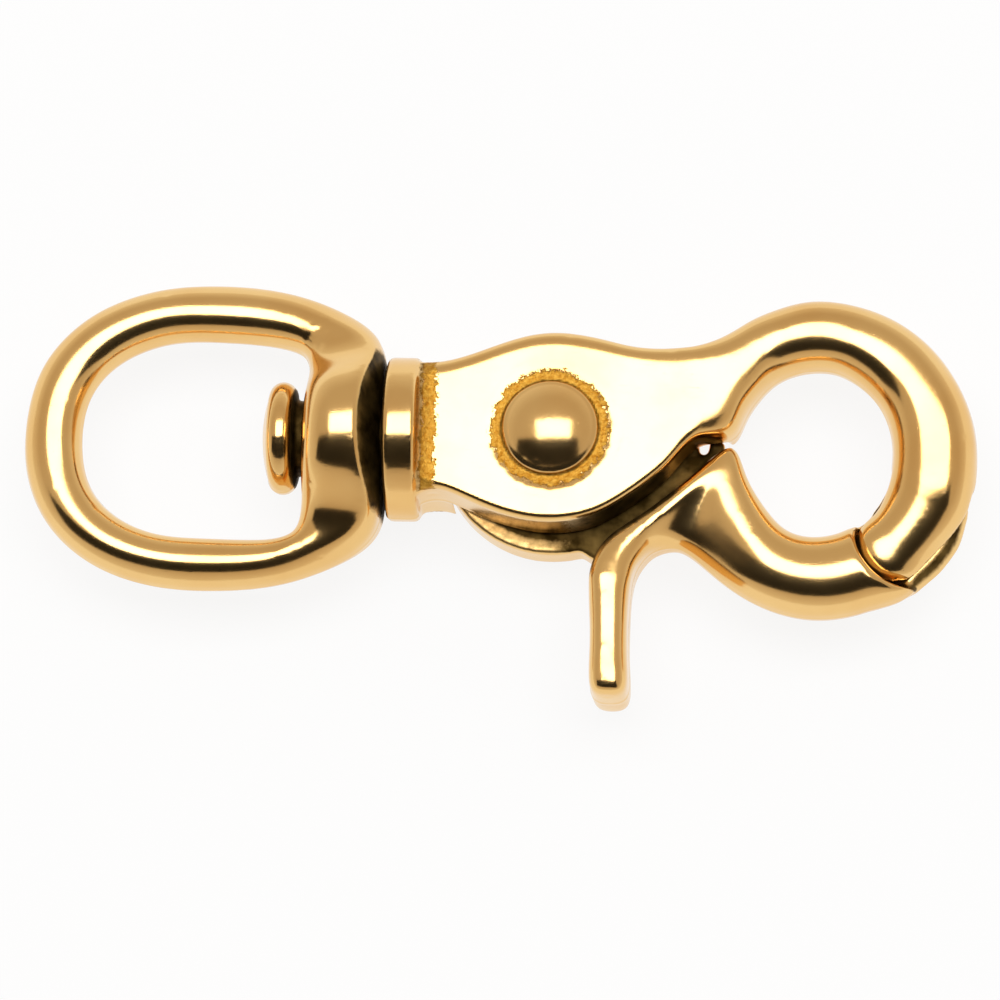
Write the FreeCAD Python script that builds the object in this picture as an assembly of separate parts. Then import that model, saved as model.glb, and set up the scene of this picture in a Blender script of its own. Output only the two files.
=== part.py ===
import FreeCAD, Part
import math
import os

V = FreeCAD.Vector

# Drawing frame: origin on the rivet axis at the middle of the casting.
# +X runs along the swivel axis toward the hook, +Z is the front face normal.
# ROW_ORIGIN moves it to the middle of the bounding box, at its lowest point.
ROW_ORIGIN = V(5.18, 5.27, 8.8)

# lofts: sections made from the key sections, and how their spacing is evened out
LOFT_SECTIONS = 80
LOFT_PACE = 0.75

# swivel stem, collar and peened head (turned about X)
STEM_R = 3.6
HEAD_X = (-27.65, -24.4)
HEAD_R = 5.4
HEAD_RIM = 1.3
COVE_X = -10.85
COVE_Z = 7.1
COVE_HALF = 5.9
COLLAR_X = (-15.7, -12.55)
COLLAR_R = 7.8
COLLAR_EDGE = 0.5

# body plate
PLATE_Z = 4.9
TOP_EDGE = 1.5
LOW_EDGE = 0.6
LAP_Z = -0.5
LAP_GAP = 0.3
LAP_R = 11.15
LAP_CORNER = ((9.0, 0.0), (9.0, -7.0), (16.8, -3.0), (16.7, 1.0), (13.2, 1.7))

# hook ring: two ellipses, one for the hole and one for the outside
HOLE_C = (24.85, -1.08)
HOLE_A = (7.35, 8.18)
RING_C = (25.2, -1.7)
RING_A = (14.95, 15.4)
BAR_Z = 3.75
BAR_ROUND = 0.93
JAW_SLOPE = 15.0
NOSE_ANGLE = -43.0
NOSE_ROUND = 0.6
NOSE_SLOPE = ((-6, 3.7), (-24, 3.15), (NOSE_ANGLE, 2.2))
TONGUE_ANGLE = -14.0
TIP_LAP_Z = 0.0
SEAT_GAP = 0.35

# pivot
RIVET_R = 2.5
RIVET_FIT = 0.06
RIVET_HEAD_R = 4.55
RIVET_RIM = 0.35
RIVET_DOME = 1.45
HEAD_GAP = 0.1
RECESS_R = 5.65
RECESS_DEPTH = 0.35
HUB_R = 10.85
HUB_BACK = -4.9
HUB_EDGE = 0.9
WEB = (
    (2.5, -10.3), (5.0, -12.0), (9.5, -9.5), (15.0, -4.5), (16.3, -2.0), (16.35, 0.3), (14.8, 0.8),
    (14.7, -0.95), (13.9, -0.95), (13.8, 1.0), (13.0, 1.2), (9.5, -1.0),
)

# swivel eye
BARREL_X = (-23.45, -16.05)
BARREL_R = 8.8
BORE_FIT = 0.08
EYE_HOLE_C = (-33.6, 0.0)
EYE_HOLE_A = (11.45, 9.55)
EYE_C = (-32.4, 0.0)
EYE_A = (18.1, 15.0)
EYE_BAR_Z = 2.75
EYE_CROWN = (0.67, 0.42)
EYE_RADII = (2.6, 2.4, 2.4)
EYE_SLANT = 0.5
EYE_DROP = 0.9
EYE_POWER = 2.25
EYE_LOW = 0.4

# return spring
SPRING_R = 3.7
SPRING_WIRE = 0.4
SPRING_PITCH = 0.95
SPRING_TURNS = 3
SPRING_LEG = 3.4
POCKET_R = 4.6
POCKET_BODY = 1.75
POCKET_GATE = -2.35


def ellipse_point(centre, axes, degrees):
    """Point of an upright ellipse in plan."""
    angle = math.radians(degrees)
    return (centre[0] + axes[0] * math.cos(angle), centre[1] + axes[1] * math.sin(angle))


def rounded_polygon(points, radii):
    """Closed wire through straight sides joined by one arc at each corner."""
    arcs = []
    for index, corner in enumerate(points):
        arriving = corner - points[index - 1]
        leaving = points[(index + 1) % len(points)] - corner
        arriving.normalize()
        leaving.normalize()
        half_turn = arriving.getAngle(leaving) / 2
        r = radii[index]
        inward = leaving - arriving
        inward.normalize()
        centre = corner + inward * (r / math.cos(half_turn))
        reach = r * math.tan(half_turn)
        arcs.append((corner - arriving * reach, centre - inward * r, corner + leaving * reach))
    edges = []
    for index, (first, middle, last) in enumerate(arcs):
        edges.append(Part.Arc(first, middle, last).toShape())
        edges.append(Part.makeLine(last, arcs[(index + 1) % len(arcs)][0]))
    return Part.Wire(edges)


def section(inner, outer, front, back, corners, crest=()):
    """Rounded section standing on the plan line from inner to outer.

    front and back give the height at the inner and at the outer end.
    corners gives the radii at inner front, outer front, outer back, inner back.
    crest, if any, is one more corner on the front: the part of the width at which
    it stands, its height and its radius.
    """
    points = [
        V(inner[0], inner[1], front[0]),
        V(outer[0], outer[1], front[1]),
        V(outer[0], outer[1], back[1]),
        V(inner[0], inner[1], back[0]),
    ]
    radii = list(corners)
    if crest:
        place, height, radius = crest
        ridge = points[0] + (points[1] - points[0]) * place
        points.insert(1, V(ridge.x, ridge.y, height))
        radii.insert(1, radius)
    return rounded_polygon(points, radii)


def spread(keys, closed=False):
    """Evenly spaced measures on smooth curves through the key sections.

    A closed row comes back as two loft lengths that share their end sections.
    Each key is a row of number pairs, the first two being the ends of the section
    in plan. A loft through keys that stand close in one place and far apart in
    another ripples, so each pair is first carried by a spline of its own.
    """
    wrap = 3 if closed else 0
    rows = keys[-wrap:] + keys + keys[:wrap + 1] if closed else keys
    times = [0.0]
    for this, following in zip(rows, rows[1:]):
        step = math.hypot(math.dist(this[0], following[0]), math.dist(this[1], following[1]))
        times.append(times[-1] + step ** LOFT_PACE)
    tracks = []
    for column in zip(*rows):
        track = Part.BSplineCurve()
        places = [V(first, second, time) for (first, second), time in zip(column, times)]
        track.interpolate(Points=places, Parameters=times)
        tracks.append(track)
    start, end = times[wrap], times[-1 - wrap]
    spans = 2 * (LOFT_SECTIONS - 1) if closed else LOFT_SECTIONS - 1
    spread_keys = []
    for number in range(spans if closed else spans + 1):
        time = start + (end - start) * number / spans
        spread_keys.append([(place.x, place.y) for place in (track.value(time) for track in tracks)])
    return spread_keys + spread_keys[:1] if closed else spread_keys


def bar(stations):
    """Smooth solid through a list of key sections, given as the arguments of section."""
    keys = []
    for inner, outer, front, back, corners, *crest in stations:
        crest_pairs = [crest[:2], crest[1:]] if crest else []
        keys.append((inner, outer, front, back, corners[:2], corners[2:], *crest_pairs))
    sections = []
    for inner, outer, front, back, first_corners, last_corners, *crest_pairs in spread(keys):
        crest = (*crest_pairs[0], crest_pairs[1][1]) if crest_pairs else ()
        sections.append(section(inner, outer, front, back, first_corners + last_corners, crest))
    return Part.makeLoft(sections, True, False)


def prism(points, low, high):
    """Straight prism on a plan polygon."""
    wire = Part.makePolygon([V(x, y, low) for x, y in points] + [V(points[0][0], points[0][1], low)])
    return Part.Face(wire).extrude(V(0, 0, high - low))


def sector(low_angle, high_angle, low, high):
    """Prism over a sector of the ring seen from the middle of the hole."""
    reach = 3 * RING_A[0]
    steps = 6
    points = [HOLE_C]
    for step in range(steps + 1):
        angle = low_angle + (high_angle - low_angle) * step / steps
        points.append(ellipse_point(HOLE_C, (reach, reach), angle))
    return prism(points, low, high)


def ring_station(degrees, height=BAR_Z):
    """Section of the hook ring bar at one angle round the hole, up to a front height."""
    inner = ellipse_point(HOLE_C, HOLE_A, degrees)
    outer = ellipse_point(RING_C, RING_A, degrees)
    front_r = min(BAR_Z, math.dist(inner, outer) / 2) * BAR_ROUND
    back_r = min(front_r, (height + BAR_Z - front_r) * BAR_ROUND)
    return (inner, outer, (height, height), (-BAR_Z, -BAR_Z), (front_r, front_r, back_r, back_r))


def body_plate_and_ring():
    """Collar end, pivot bulge, arm and hook ring as one smooth bar."""
    plate = (LOW_EDGE, TOP_EDGE, TOP_EDGE, LOW_EDGE)
    front = (PLATE_Z, PLATE_Z)
    back = (-PLATE_Z, -PLATE_Z)
    stations = [
        ((-13.4, -6.9), (-13.4, 7.1), front, back, (3.3, 3.3, 3.3, 3.3)),
        ((-12.0, -6.1), (-12.0, 6.75), front, back, (1.2, 1.8, 1.8, 1.2)),
        ((-10.5, -5.9), (-10.5, 6.75), front, back, plate),
        ((-7.5, -7.0), (-7.5, 7.55), front, back, plate),
        ((-4.5, -8.2), (-4.5, 8.7), front, back, plate),
        ((-1.5, -8.9), (-1.5, 9.5), front, back, plate),
        ((1.5, -8.9), (1.5, 9.6), front, back, plate),
        ((4.8, -8.0), (4.8, 9.05), front, back, plate),
        ((8.4, -5.7), (7.8, 8.35), front, back, plate),
        ((11.5, -3.0), (10.6, 8.2), front, back, (0.6, 1.5, 1.5, 1.2)),
        ((14.0, -0.5), (12.2, 8.35), front, back, (0.8, 1.5, 1.5, 1.6)),
        ((16.1, -0.25), (13.4, 8.55), (4.4, 4.9), (-4.6, -4.8), (1.8, 1.6, 1.6, 2.0)),
        ((17.2, 0.1), (14.7, 9.05), (4.2, 4.75), (-4.3, -4.7), (2.6, 1.9, 1.9, 2.4)),
        ((17.85, 1.1), (15.9, 9.7), (4.15, 4.55), (-4.2, -4.5), (2.9, 2.3, 2.3, 2.6)),
        ((18.3, 2.4), (17.2, 10.6), (4.1, 4.35), (-4.1, -4.3), (3.1, 2.7, 2.7, 2.9)),
        ((19.2, 3.85), (18.7, 11.7), (4.1, 4.1), (-4.1, -4.1), (3.0, 3.0, 3.0, 3.0)),
        ((21.2, 5.95), (21.4, 13.05), (3.85, 3.85), (-3.85, -3.85), (3.4, 3.4, 3.4, 3.4)),
    ]
    for degrees, height in ((90, BAR_Z), (65, BAR_Z), (40, BAR_Z), (15, BAR_Z), *NOSE_SLOPE):
        stations.append(ring_station(degrees, height))
    for degrees in (25, 48, 66, 80):
        stations.append(nose_station(degrees))
    return bar(stations)


def nose_base():
    """Centre and half width of the bar where the ball-shaped tip begins."""
    inner = V(*ellipse_point(HOLE_C, HOLE_A, NOSE_ANGLE), 0)
    outer = V(*ellipse_point(RING_C, RING_A, NOSE_ANGLE), 0)
    return (inner + outer) * 0.5, (outer - inner) * 0.5


def nose_station(degrees):
    """Section of the ball-shaped end of the hook tip, by its angle on the ball."""
    middle, half = nose_base()
    shrink = math.cos(math.radians(degrees))
    forward = V(half.y, -half.x, 0) * math.sin(math.radians(degrees))
    near = middle + forward - half * shrink
    far = middle + forward + half * shrink
    height = NOSE_SLOPE[-1][1] * shrink
    depth = BAR_Z * shrink
    front_r = half.Length * shrink * NOSE_ROUND
    back_r = min(half.Length * shrink, height + depth - front_r) * BAR_ROUND
    ends = ((near.x, near.y), (far.x, far.y))
    return (*ends, (height, height), (-depth, -depth), (front_r, front_r, back_r, back_r))


def button(radius, rim, crown):
    """Head standing on the plan: a half-round rim with a ball-shaped cap on it."""
    neck = radius - rim
    ball = (neck * neck + crown * crown) / (2 * crown)
    half = math.asin(neck / ball) / 2
    top = 2 * rim + crown
    middle = V(ball * math.sin(half), 0, top - ball + ball * math.cos(half))
    edges = [
        Part.makeLine(V(0, 0, 0), V(neck, 0, 0)),
        Part.Arc(V(neck, 0, 0), V(radius, 0, rim), V(neck, 0, 2 * rim)).toShape(),
        Part.Arc(V(neck, 0, 2 * rim), middle, V(0, 0, top)).toShape(),
        Part.makeLine(V(0, 0, top), V(0, 0, 0)),
    ]
    return Part.Face(Part.Wire(edges)).revolve(V(0, 0, 0), V(0, 0, 1), 360)


def swivel_stem():
    """Collar, stem and peened head, turned about the swivel axis."""
    left, right = COLLAR_X
    collar = Part.makeCylinder(COLLAR_R, right - left, V(left, 0, 0), V(1, 0, 0))
    collar = collar.makeFillet(COLLAR_EDGE, [e for e in collar.Edges if e.Length > COLLAR_R * 5])
    stem = Part.makeCylinder(STEM_R, left + 0.5 - HEAD_X[1], V(HEAD_X[1], 0, 0), V(1, 0, 0))
    tip, base = HEAD_X
    head = button(HEAD_R, HEAD_RIM, base - tip - 2 * HEAD_RIM)
    head.rotate(V(0, 0, 0), V(0, 1, 0), -90)
    head.translate(V(base, 0, 0))
    return collar.fuse([stem, head])


def collar_cove():
    """Cast cove that carries the flat face of the plate up to the collar."""
    start = COLLAR_X[1] - COLLAR_EDGE
    width = COVE_X - start
    rise = COVE_Z - PLATE_Z
    hollow = V(start + width * (1 - math.sqrt(0.5)), 0, PLATE_Z + rise * (1 - math.sqrt(0.5)))
    edges = [
        Part.Arc(V(start, 0, COVE_Z), hollow, V(COVE_X, 0, PLATE_Z)).toShape(),
        Part.makeLine(V(COVE_X, 0, PLATE_Z), V(COVE_X, 0, -PLATE_Z)),
        Part.Arc(V(COVE_X, 0, -PLATE_Z), V(hollow.x, 0, -hollow.z), V(start, 0, -COVE_Z)).toShape(),
        Part.makeLine(V(start, 0, -COVE_Z), V(start, 0, COVE_Z)),
    ]
    cove = Part.Face(Part.Wire(edges)).extrude(V(0, 2 * COVE_HALF, 0))
    cove.translate(V(0, -COVE_HALF, 0))
    return cove.common(Part.makeCylinder(COLLAR_R - COLLAR_EDGE, 2 * width, V(start, 0, 0), V(1, 0, 0)))


def spring_slot(low, high, side):
    """Room for one spring leg, on the +Y or the -Y side of the coil."""
    width = 2 * SPRING_WIRE + 2 * LAP_GAP
    length = SPRING_LEG + 2 * LAP_GAP
    return Part.makeBox(width, length, high - low, V(SPRING_R - width / 2, min(0, side * length), low))


def hook_body():
    """Plate, hook ring, collar, stem and peened head: one casting."""
    far = 3 * PLATE_Z
    shape = body_plate_and_ring().fuse(swivel_stem()).fuse(collar_cove())
    shape = shape.cut(sector(-100, TONGUE_ANGLE, -far, TIP_LAP_Z))
    shape = shape.cut(Part.makeCylinder(LAP_R, far + LAP_Z, V(0, 0, -far)))
    shape = shape.cut(prism(LAP_CORNER, -far, LAP_Z))
    shape = shape.cut(Part.makeCylinder(RIVET_R, 2 * far, V(0, 0, -far)))
    shape = shape.cut(Part.makeCylinder(RECESS_R, far, V(0, 0, PLATE_Z - RECESS_DEPTH)))
    shape = shape.cut(Part.makeCylinder(POCKET_R, POCKET_BODY - LAP_Z, V(0, 0, LAP_Z)))
    shape = shape.cut(spring_slot(LAP_Z, POCKET_BODY, 1))
    return shape.removeSplitter()


def jaw_station(degrees):
    """Round section of the jaw at one angle round the hole, with a crest on its front."""
    inner, outer, front, back, corners = ring_station(degrees)
    slope = math.radians(JAW_SLOPE)
    side = BAR_Z * (1 / math.cos(slope) - math.tan(slope))
    return (inner, outer, (side, side), back, corners, 0.5, BAR_Z / math.cos(slope), corners[0])


def jaw_and_finger():
    """One smooth bar: curved jaw, pointed upper end, then down the trigger finger.

    Past the ring the sections fan round the notch between jaw and finger.
    """
    stations = [jaw_station(degrees) for degrees in (TONGUE_ANGLE - 1.5, -35, -55, -75, -95)]
    stations += [
        ((22.0, -8.45), (18.9, -15.4), (2.9, 2.5), (-3.75, -3.75), (3.3, 3.2, 3.4, 3.4), 0.49, 3.88, 3.6),
        ((20.45, -6.85), (15.6, -13.1), (2.85, 1.7), (-3.7, -3.7), (3.0, 2.9, 3.1, 3.1), 0.43, 3.85, 4.0),
        ((19.2, -5.05), (13.5, -11.3), (2.8, 1.25), (-3.7, -3.7), (2.3, 2.7, 2.8, 2.8), 0.37, 3.7, 4.8),
        ((18.3, -3.2), (12.4, -10.6), (2.75, 1.2), (-3.7, -3.7), (1.8, 2.5, 2.7, 2.2), 0.33, 3.55, 5.5),
        ((17.7, -1.6), (11.8, -10.4), (2.7, 1.3), (-3.7, -3.7), (1.4, 2.4, 2.5, 1.6), 0.3, 3.45, 6.0),
        ((17.0, -0.9), (11.3, -10.4), (2.65, 1.45), (-3.8, -3.8), (1.2, 2.3, 2.4, 1.3), 0.3, 3.4, 6.0),
        ((15.9, -1.4), (10.9, -10.45), (2.65, 1.6), (-3.8, -3.8), (1.2, 2.3, 2.4, 1.3), 0.31, 3.35, 5.5),
        ((14.0, -3.1), (10.3, -10.6), (2.65, 1.8), (-3.9, -3.9), (1.3, 2.2, 2.3, 1.4), 0.35, 3.3, 4.5),
        ((11.4, -5.4), (9.6, -10.9), (2.7, 2.1), (-4.0, -4.0), (1.3, 1.9, 2.1, 1.5), 0.4, 3.4, 2.8),
        ((8.3, -7.9), (8.9, -11.6), (3.1, 2.6), (-4.1, -4.1), (1.2, 1.4, 1.8, 1.5), 0.44, 3.7, 1.8),
        ((5.5, -10.1), (8.2, -12.7), (3.5, 3.3), (-4.3, -4.3), (1.2, 1.2, 1.6, 1.6), 0.44, 4.0, 1.8),
        ((4.05, -13.0), (7.8, -14.3), (4.0, 3.8), (-4.5, -4.5), (1.2, 1.2, 1.5, 1.5), 0.43, 4.4, 1.9),
        ((3.95, -17.0), (7.65, -17.4), (4.25, 4.15), (-4.7, -4.7), (1.1, 1.1, 1.2, 1.2), 0.42, 4.65, 2.0),
        ((4.1, -21.3), (7.7, -21.5), (4.45, 4.35), (-4.7, -4.7), (1.1, 1.1, 1.1, 1.1), 0.42, 4.8, 2.0),
        ((4.3, -25.1), (7.75, -25.1), (4.5, 4.45), (-4.7, -4.7), (1.0, 1.0, 1.0, 1.0), 0.45, 4.75, 2.0),
        ((4.6, -25.55), (7.5, -25.55), (4.25, 4.25), (-4.45, -4.45), (0.9, 0.9, 0.9, 0.9), 0.5, 4.45, 1.6),
    ]
    return bar(stations)


def trigger_gate():
    """Jaw, trigger finger and hub plate: one casting that turns on the rivet."""
    front = LAP_Z - LAP_GAP
    far = 3 * PLATE_Z
    hub = Part.makeCylinder(HUB_R, front - HUB_BACK, V(0, 0, HUB_BACK))
    hub = hub.makeFillet(HUB_EDGE, [e for e in hub.Edges if e.BoundBox.ZMax < HUB_BACK + 0.1])
    web = prism(WEB, HUB_BACK + HUB_EDGE, front)
    shape = hub.fuse([web, jaw_and_finger()])
    middle, half = nose_base()
    seat = Part.makeCylinder(half.Length + SEAT_GAP, far, middle + V(0, 0, TIP_LAP_Z - LAP_GAP))
    shape = shape.cut(seat)
    shape = shape.cut(sector(NOSE_ANGLE, 20, TIP_LAP_Z - LAP_GAP, far))
    shape = shape.cut(Part.makeCylinder(RIVET_R + RIVET_FIT, 2 * far, V(0, 0, -far)))
    shape = shape.cut(Part.makeCylinder(POCKET_R, front - POCKET_GATE, V(0, 0, POCKET_GATE)))
    shape = shape.cut(spring_slot(POCKET_GATE, front, -1))
    return shape.removeSplitter()


def pivot_rivet():
    """Shank through both castings with a dome at each end."""
    front = PLATE_Z - RECESS_DEPTH
    back = HUB_BACK - HEAD_GAP
    shank = Part.makeCylinder(RIVET_R, front - back, V(0, 0, back))
    front_head = button(RIVET_HEAD_R, RIVET_RIM, RIVET_DOME)
    back_head = front_head.copy()
    back_head.rotate(V(0, 0, 0), V(1, 0, 0), 180)
    front_head.translate(V(0, 0, front))
    back_head.translate(V(0, 0, back))
    return shank.fuse([front_head, back_head]).removeSplitter()


def torsion_spring():
    """Three turns of wire round the rivet with a leg in each casting."""
    height = SPRING_PITCH * SPRING_TURNS
    bottom = POCKET_GATE + 0.15 + SPRING_WIRE
    path = Part.makeHelix(SPRING_PITCH, height, SPRING_R)
    path.translate(V(0, 0, bottom))
    round_wire = Part.Wire(Part.makeCircle(SPRING_WIRE, V(SPRING_R, 0, bottom), V(0, 1, 0)))
    coil = Part.Wire(path.Edges).makePipeShell([round_wire], True, True)
    upper = Part.makeCylinder(SPRING_WIRE, SPRING_LEG, V(SPRING_R, 0, bottom + height), V(0, 1, 0))
    lower = Part.makeCylinder(SPRING_WIRE, SPRING_LEG, V(SPRING_R, 0, bottom), V(0, -1, 0))
    return coil.fuse([upper, lower])


def eye_point(centre, axes, degrees):
    """Point of a superellipse a little fuller at the shoulders than an ellipse."""
    angle = math.radians(degrees)
    point = []
    for middle, reach, part in zip(centre, axes, (math.cos(angle), math.sin(angle))):
        point.append(middle + math.copysign(reach * abs(part) ** (2 / EYE_POWER), part))
    return tuple(point)


def eye_section(inner, outer, height, crown, radii):
    """Six-sided rounded section: hole side, crown and a slanted outer shoulder.

    crown gives where the crown ends along the width and where the shoulder ends
    in height, both as parts of the whole. radii are for hole side, crown, shoulder.
    """
    start = V(inner[0], inner[1], 0)
    width = V(outer[0], outer[1], 0) - start
    ridge = start + width * crown[0]
    edge = start + width
    top = V(0, 0, height)
    low = V(0, 0, height * crown[1])
    points = [start + top, ridge + top, edge + low, edge - low, ridge - top, start - top]
    return rounded_polygon(points, tuple(radii) + tuple(radii)[::-1])


def eye_key(inner, outer, height, crown=EYE_CROWN, radii=EYE_RADII):
    """Key measures of one eye section as number pairs, ready for the splines."""
    return (inner, outer, (height, crown[0]), (crown[1], radii[0]), radii[1:])


def swivel_eye():
    """Strap ring whose thick straight side is the barrel on the stem: one casting."""
    left, right = BARREL_X
    corner = [
        eye_key((-27.2, 9.15), (-24.6, 14.05), 2.8),
        eye_key((-25.1, 8.75), (-20.6, 12.5), 3.0),
        eye_key((-23.75, 7.9), (-17.6, 10.5), 3.4, (0.8, 0.46), (2.7, 2.0, 2.0)),
        eye_key((-23.3, 6.2), (-16.3, 8.3), 4.5, (0.9, 0.52), (2.9, 1.2, 1.2)),
        eye_key((-23.3, 4.1), (-16.05, 5.4), 7.0, (0.82, 0.52), (3.2, 1.0, 1.0)),
        eye_key((-23.4, 2.0), (right, 2.7), 8.35, (0.76, 0.5), (3.4, 1.0, 1.0)),
    ]
    upper = [eye_key(eye_point(EYE_HOLE_C, EYE_HOLE_A, a), eye_point(EYE_C, EYE_A, a), EYE_BAR_Z)
             for a in (180, 155, 130, 108, 90)] + corner
    middle = eye_key((left, 0.0), (right, 0.0), BARREL_R, (0.74, 0.5), (3.5, 1.0, 1.0))
    lower = []
    for inner, outer, *rest in upper[:0:-1]:
        part = max(0.0, (inner[0] - EYE_C[0]) / (left - EYE_C[0])) * inner[1] / EYE_HOLE_A[1]
        inside = (inner[0] - EYE_SLANT * part, -inner[1] - EYE_LOW - EYE_DROP * part)
        lower.append((inside, (outer[0], -outer[1]), *rest))
    keys = upper + [middle] + lower
    sections = []
    for inner, outer, (height, ridge), (shoulder, first), rest in spread(keys, closed=True):
        sections.append(eye_section(inner, outer, height, (ridge, shoulder), (first, *rest)))
    upper_half = Part.makeLoft(sections[LOFT_SECTIONS - 1::-1], True, False)
    lower_half = Part.makeLoft(sections[LOFT_SECTIONS - 1:], True, False)
    ring = upper_half.fuse(lower_half)
    bore = Part.makeCylinder(STEM_R + BORE_FIT, 2 * (right - left), V(left - 4, 0, 0), V(1, 0, 0))
    return ring.cut(bore).Solids[0]


PIECES = {
    "hook_body": hook_body,
    "trigger_gate": trigger_gate,
    "pivot_rivet": pivot_rivet,
    "torsion_spring": torsion_spring,
    "swivel_eye": swivel_eye,
}

os.makedirs("parts", exist_ok=True)
for name, build in PIECES.items():
    shape = build()
    shape.translate(ROW_ORIGIN)
    print(name, shape.ShapeType, shape.isValid(), len(shape.Solids), round(shape.Volume, 1))
    shape.exportStep("parts/" + name + ".step")
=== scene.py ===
# %% [markdown]
# # Trigger snap hook in cast and tumbled brass
#
# A trigger snap hook joins a strap to a ring. Its eye turns on a swivel, and a
# spring keeps its trigger shut against the nose of the hook. The solids come
# ready from the shared frame, in metres, so this script never moves them. It
# gives them the softness and the wear of a real casting, painted shade in the
# gaps between them, and a small studio to stand in.

# %% load the frame
import math

import bmesh
import bpy
import numpy as np
from mathutils import Matrix, Vector


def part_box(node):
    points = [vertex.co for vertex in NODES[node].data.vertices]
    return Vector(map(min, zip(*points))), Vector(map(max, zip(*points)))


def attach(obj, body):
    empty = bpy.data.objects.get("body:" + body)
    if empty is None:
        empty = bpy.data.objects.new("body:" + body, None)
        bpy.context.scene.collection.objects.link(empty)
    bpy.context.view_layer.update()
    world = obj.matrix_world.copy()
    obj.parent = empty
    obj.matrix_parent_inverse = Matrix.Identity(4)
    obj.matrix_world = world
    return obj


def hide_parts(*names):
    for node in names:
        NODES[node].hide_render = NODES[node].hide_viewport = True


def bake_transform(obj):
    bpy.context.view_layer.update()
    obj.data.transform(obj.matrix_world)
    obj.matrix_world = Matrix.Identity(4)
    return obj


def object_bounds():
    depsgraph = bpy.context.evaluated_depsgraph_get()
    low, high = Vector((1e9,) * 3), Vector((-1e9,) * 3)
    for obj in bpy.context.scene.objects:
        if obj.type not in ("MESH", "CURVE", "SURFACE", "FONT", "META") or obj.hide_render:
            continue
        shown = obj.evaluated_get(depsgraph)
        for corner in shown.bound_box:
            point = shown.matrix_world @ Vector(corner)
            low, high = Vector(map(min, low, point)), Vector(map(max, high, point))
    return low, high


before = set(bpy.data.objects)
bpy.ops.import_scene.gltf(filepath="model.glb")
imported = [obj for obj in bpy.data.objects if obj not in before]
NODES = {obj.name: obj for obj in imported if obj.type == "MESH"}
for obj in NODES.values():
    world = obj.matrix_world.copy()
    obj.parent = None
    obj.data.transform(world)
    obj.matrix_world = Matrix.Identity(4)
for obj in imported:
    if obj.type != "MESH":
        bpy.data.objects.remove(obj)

CAD_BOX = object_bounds()
scene = bpy.context.scene
for name in sorted(NODES):
    print(name, "has", len(NODES[name].data.polygons), "faces")

# %% [markdown]
# ## Places that every later step shares
#
# A casting is easiest to think about in millimetres from a few places: the axis
# of the rivet, the axis of the swivel, and the plane in which the two halves of
# the mould met. All three are read from the boxes of the solids, so the masks
# that are measured from them follow a change of the model.

# %% shared places
MM = 0.001


def box_mm(name):
    """Lowest corner, highest corner and middle of one solid, in millimetres."""
    low, high = (np.array(corner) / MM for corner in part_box(name))
    return low, high, (low + high) / 2


BODY_LOW = box_mm("hook_body")[0]
GATE_LOW = box_mm("trigger_gate")[0]
RIVET_HIGH, RIVET_MIDDLE = box_mm("pivot_rivet")[1:]
EYE_HIGH, EYE_MIDDLE = box_mm("swivel_eye")[1:]
RIVET_X, RIVET_Y = RIVET_MIDDLE[:2]
SWIVEL_Y = EYE_MIDDLE[1]
PARTING_Z = EYE_MIDDLE[2]
print("rivet axis", RIVET_X, RIVET_Y, "swivel", SWIVEL_Y, "parting plane", PARTING_Z)

# The ground face, the hub's front, the collar's end, and two radii round the rivet:
# that of its head, and that of the recess that the head sits in.
FACE_Z = PARTING_Z + 4.9
HUB_FRONT_Z = PARTING_Z - 0.8
COLLAR_X = EYE_HIGH[0] + 0.35
HEAD_R = 4.55
RECESS_R = 5.65


def from_rivet(points):
    """Distance of each corner from the rivet's axis."""
    return np.hypot(points[:, 0] - RIVET_X, points[:, 1] - RIVET_Y)


def from_swivel(points):
    """Distance of each corner from the swivel's axis."""
    return np.hypot(points[:, 1] - SWIVEL_Y, points[:, 2] - PARTING_Z)


# %% [markdown]
# ## Skins: the tumbled surface of a casting
#
# After casting, the pieces tumble with stones until every sharp edge is gone.
# A Bevel modifier could round the edges, but the solids arrive as loose
# triangles with blends of many widths, on which a bevel breaks. Instead a copy
# of each solid is joined up and remeshed into small even squares, and then each
# corner moves toward the middle of its neighbours a few dozen times. That is
# what tumbling does: it takes most from where the metal stands out most.

# %% a joined copy of one solid
WELD = 1e-6


def joined_copy(name):
    """Mesh of one solid with its loose triangles joined at the corners they share."""
    mesh = NODES[name].data.copy()
    work = bmesh.new()
    work.from_mesh(mesh)
    bmesh.ops.remove_doubles(work, verts=work.verts, dist=WELD)
    work.to_mesh(mesh)
    work.free()
    mesh.materials.clear()
    return mesh


# %% small even faces
def even_skin(name, piece_name, face_size):
    """New piece whose surface is the solid's, in squares of about face_size mm."""
    piece = bpy.data.objects.new(piece_name, joined_copy(name))
    scene.collection.objects.link(piece)
    even = piece.modifiers.new("even squares", "REMESH")
    even.mode = "VOXEL"
    even.voxel_size = face_size * MM
    shaped = piece.evaluated_get(bpy.context.evaluated_depsgraph_get())
    mesh = bpy.data.meshes.new_from_object(shaped)
    piece.modifiers.clear()
    piece.data = mesh
    mesh.name = piece_name
    mesh.polygons.foreach_set("use_smooth", np.ones(len(mesh.polygons), bool))
    print(piece_name, "has", len(mesh.polygons), "squares")
    return piece


# %% reading and writing a skin as arrays
def points_of(mesh):
    """Corners of a mesh as rows of x, y, z in millimetres."""
    flat = np.empty(len(mesh.vertices) * 3)
    mesh.vertices.foreach_get("co", flat)
    return flat.reshape(-1, 3) / MM


def normals_of(mesh):
    """Outward unit normals at the corners, one row each."""
    flat = np.empty(len(mesh.vertices) * 3)
    mesh.vertex_normals.foreach_get("vector", flat)
    return flat.reshape(-1, 3)


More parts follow.
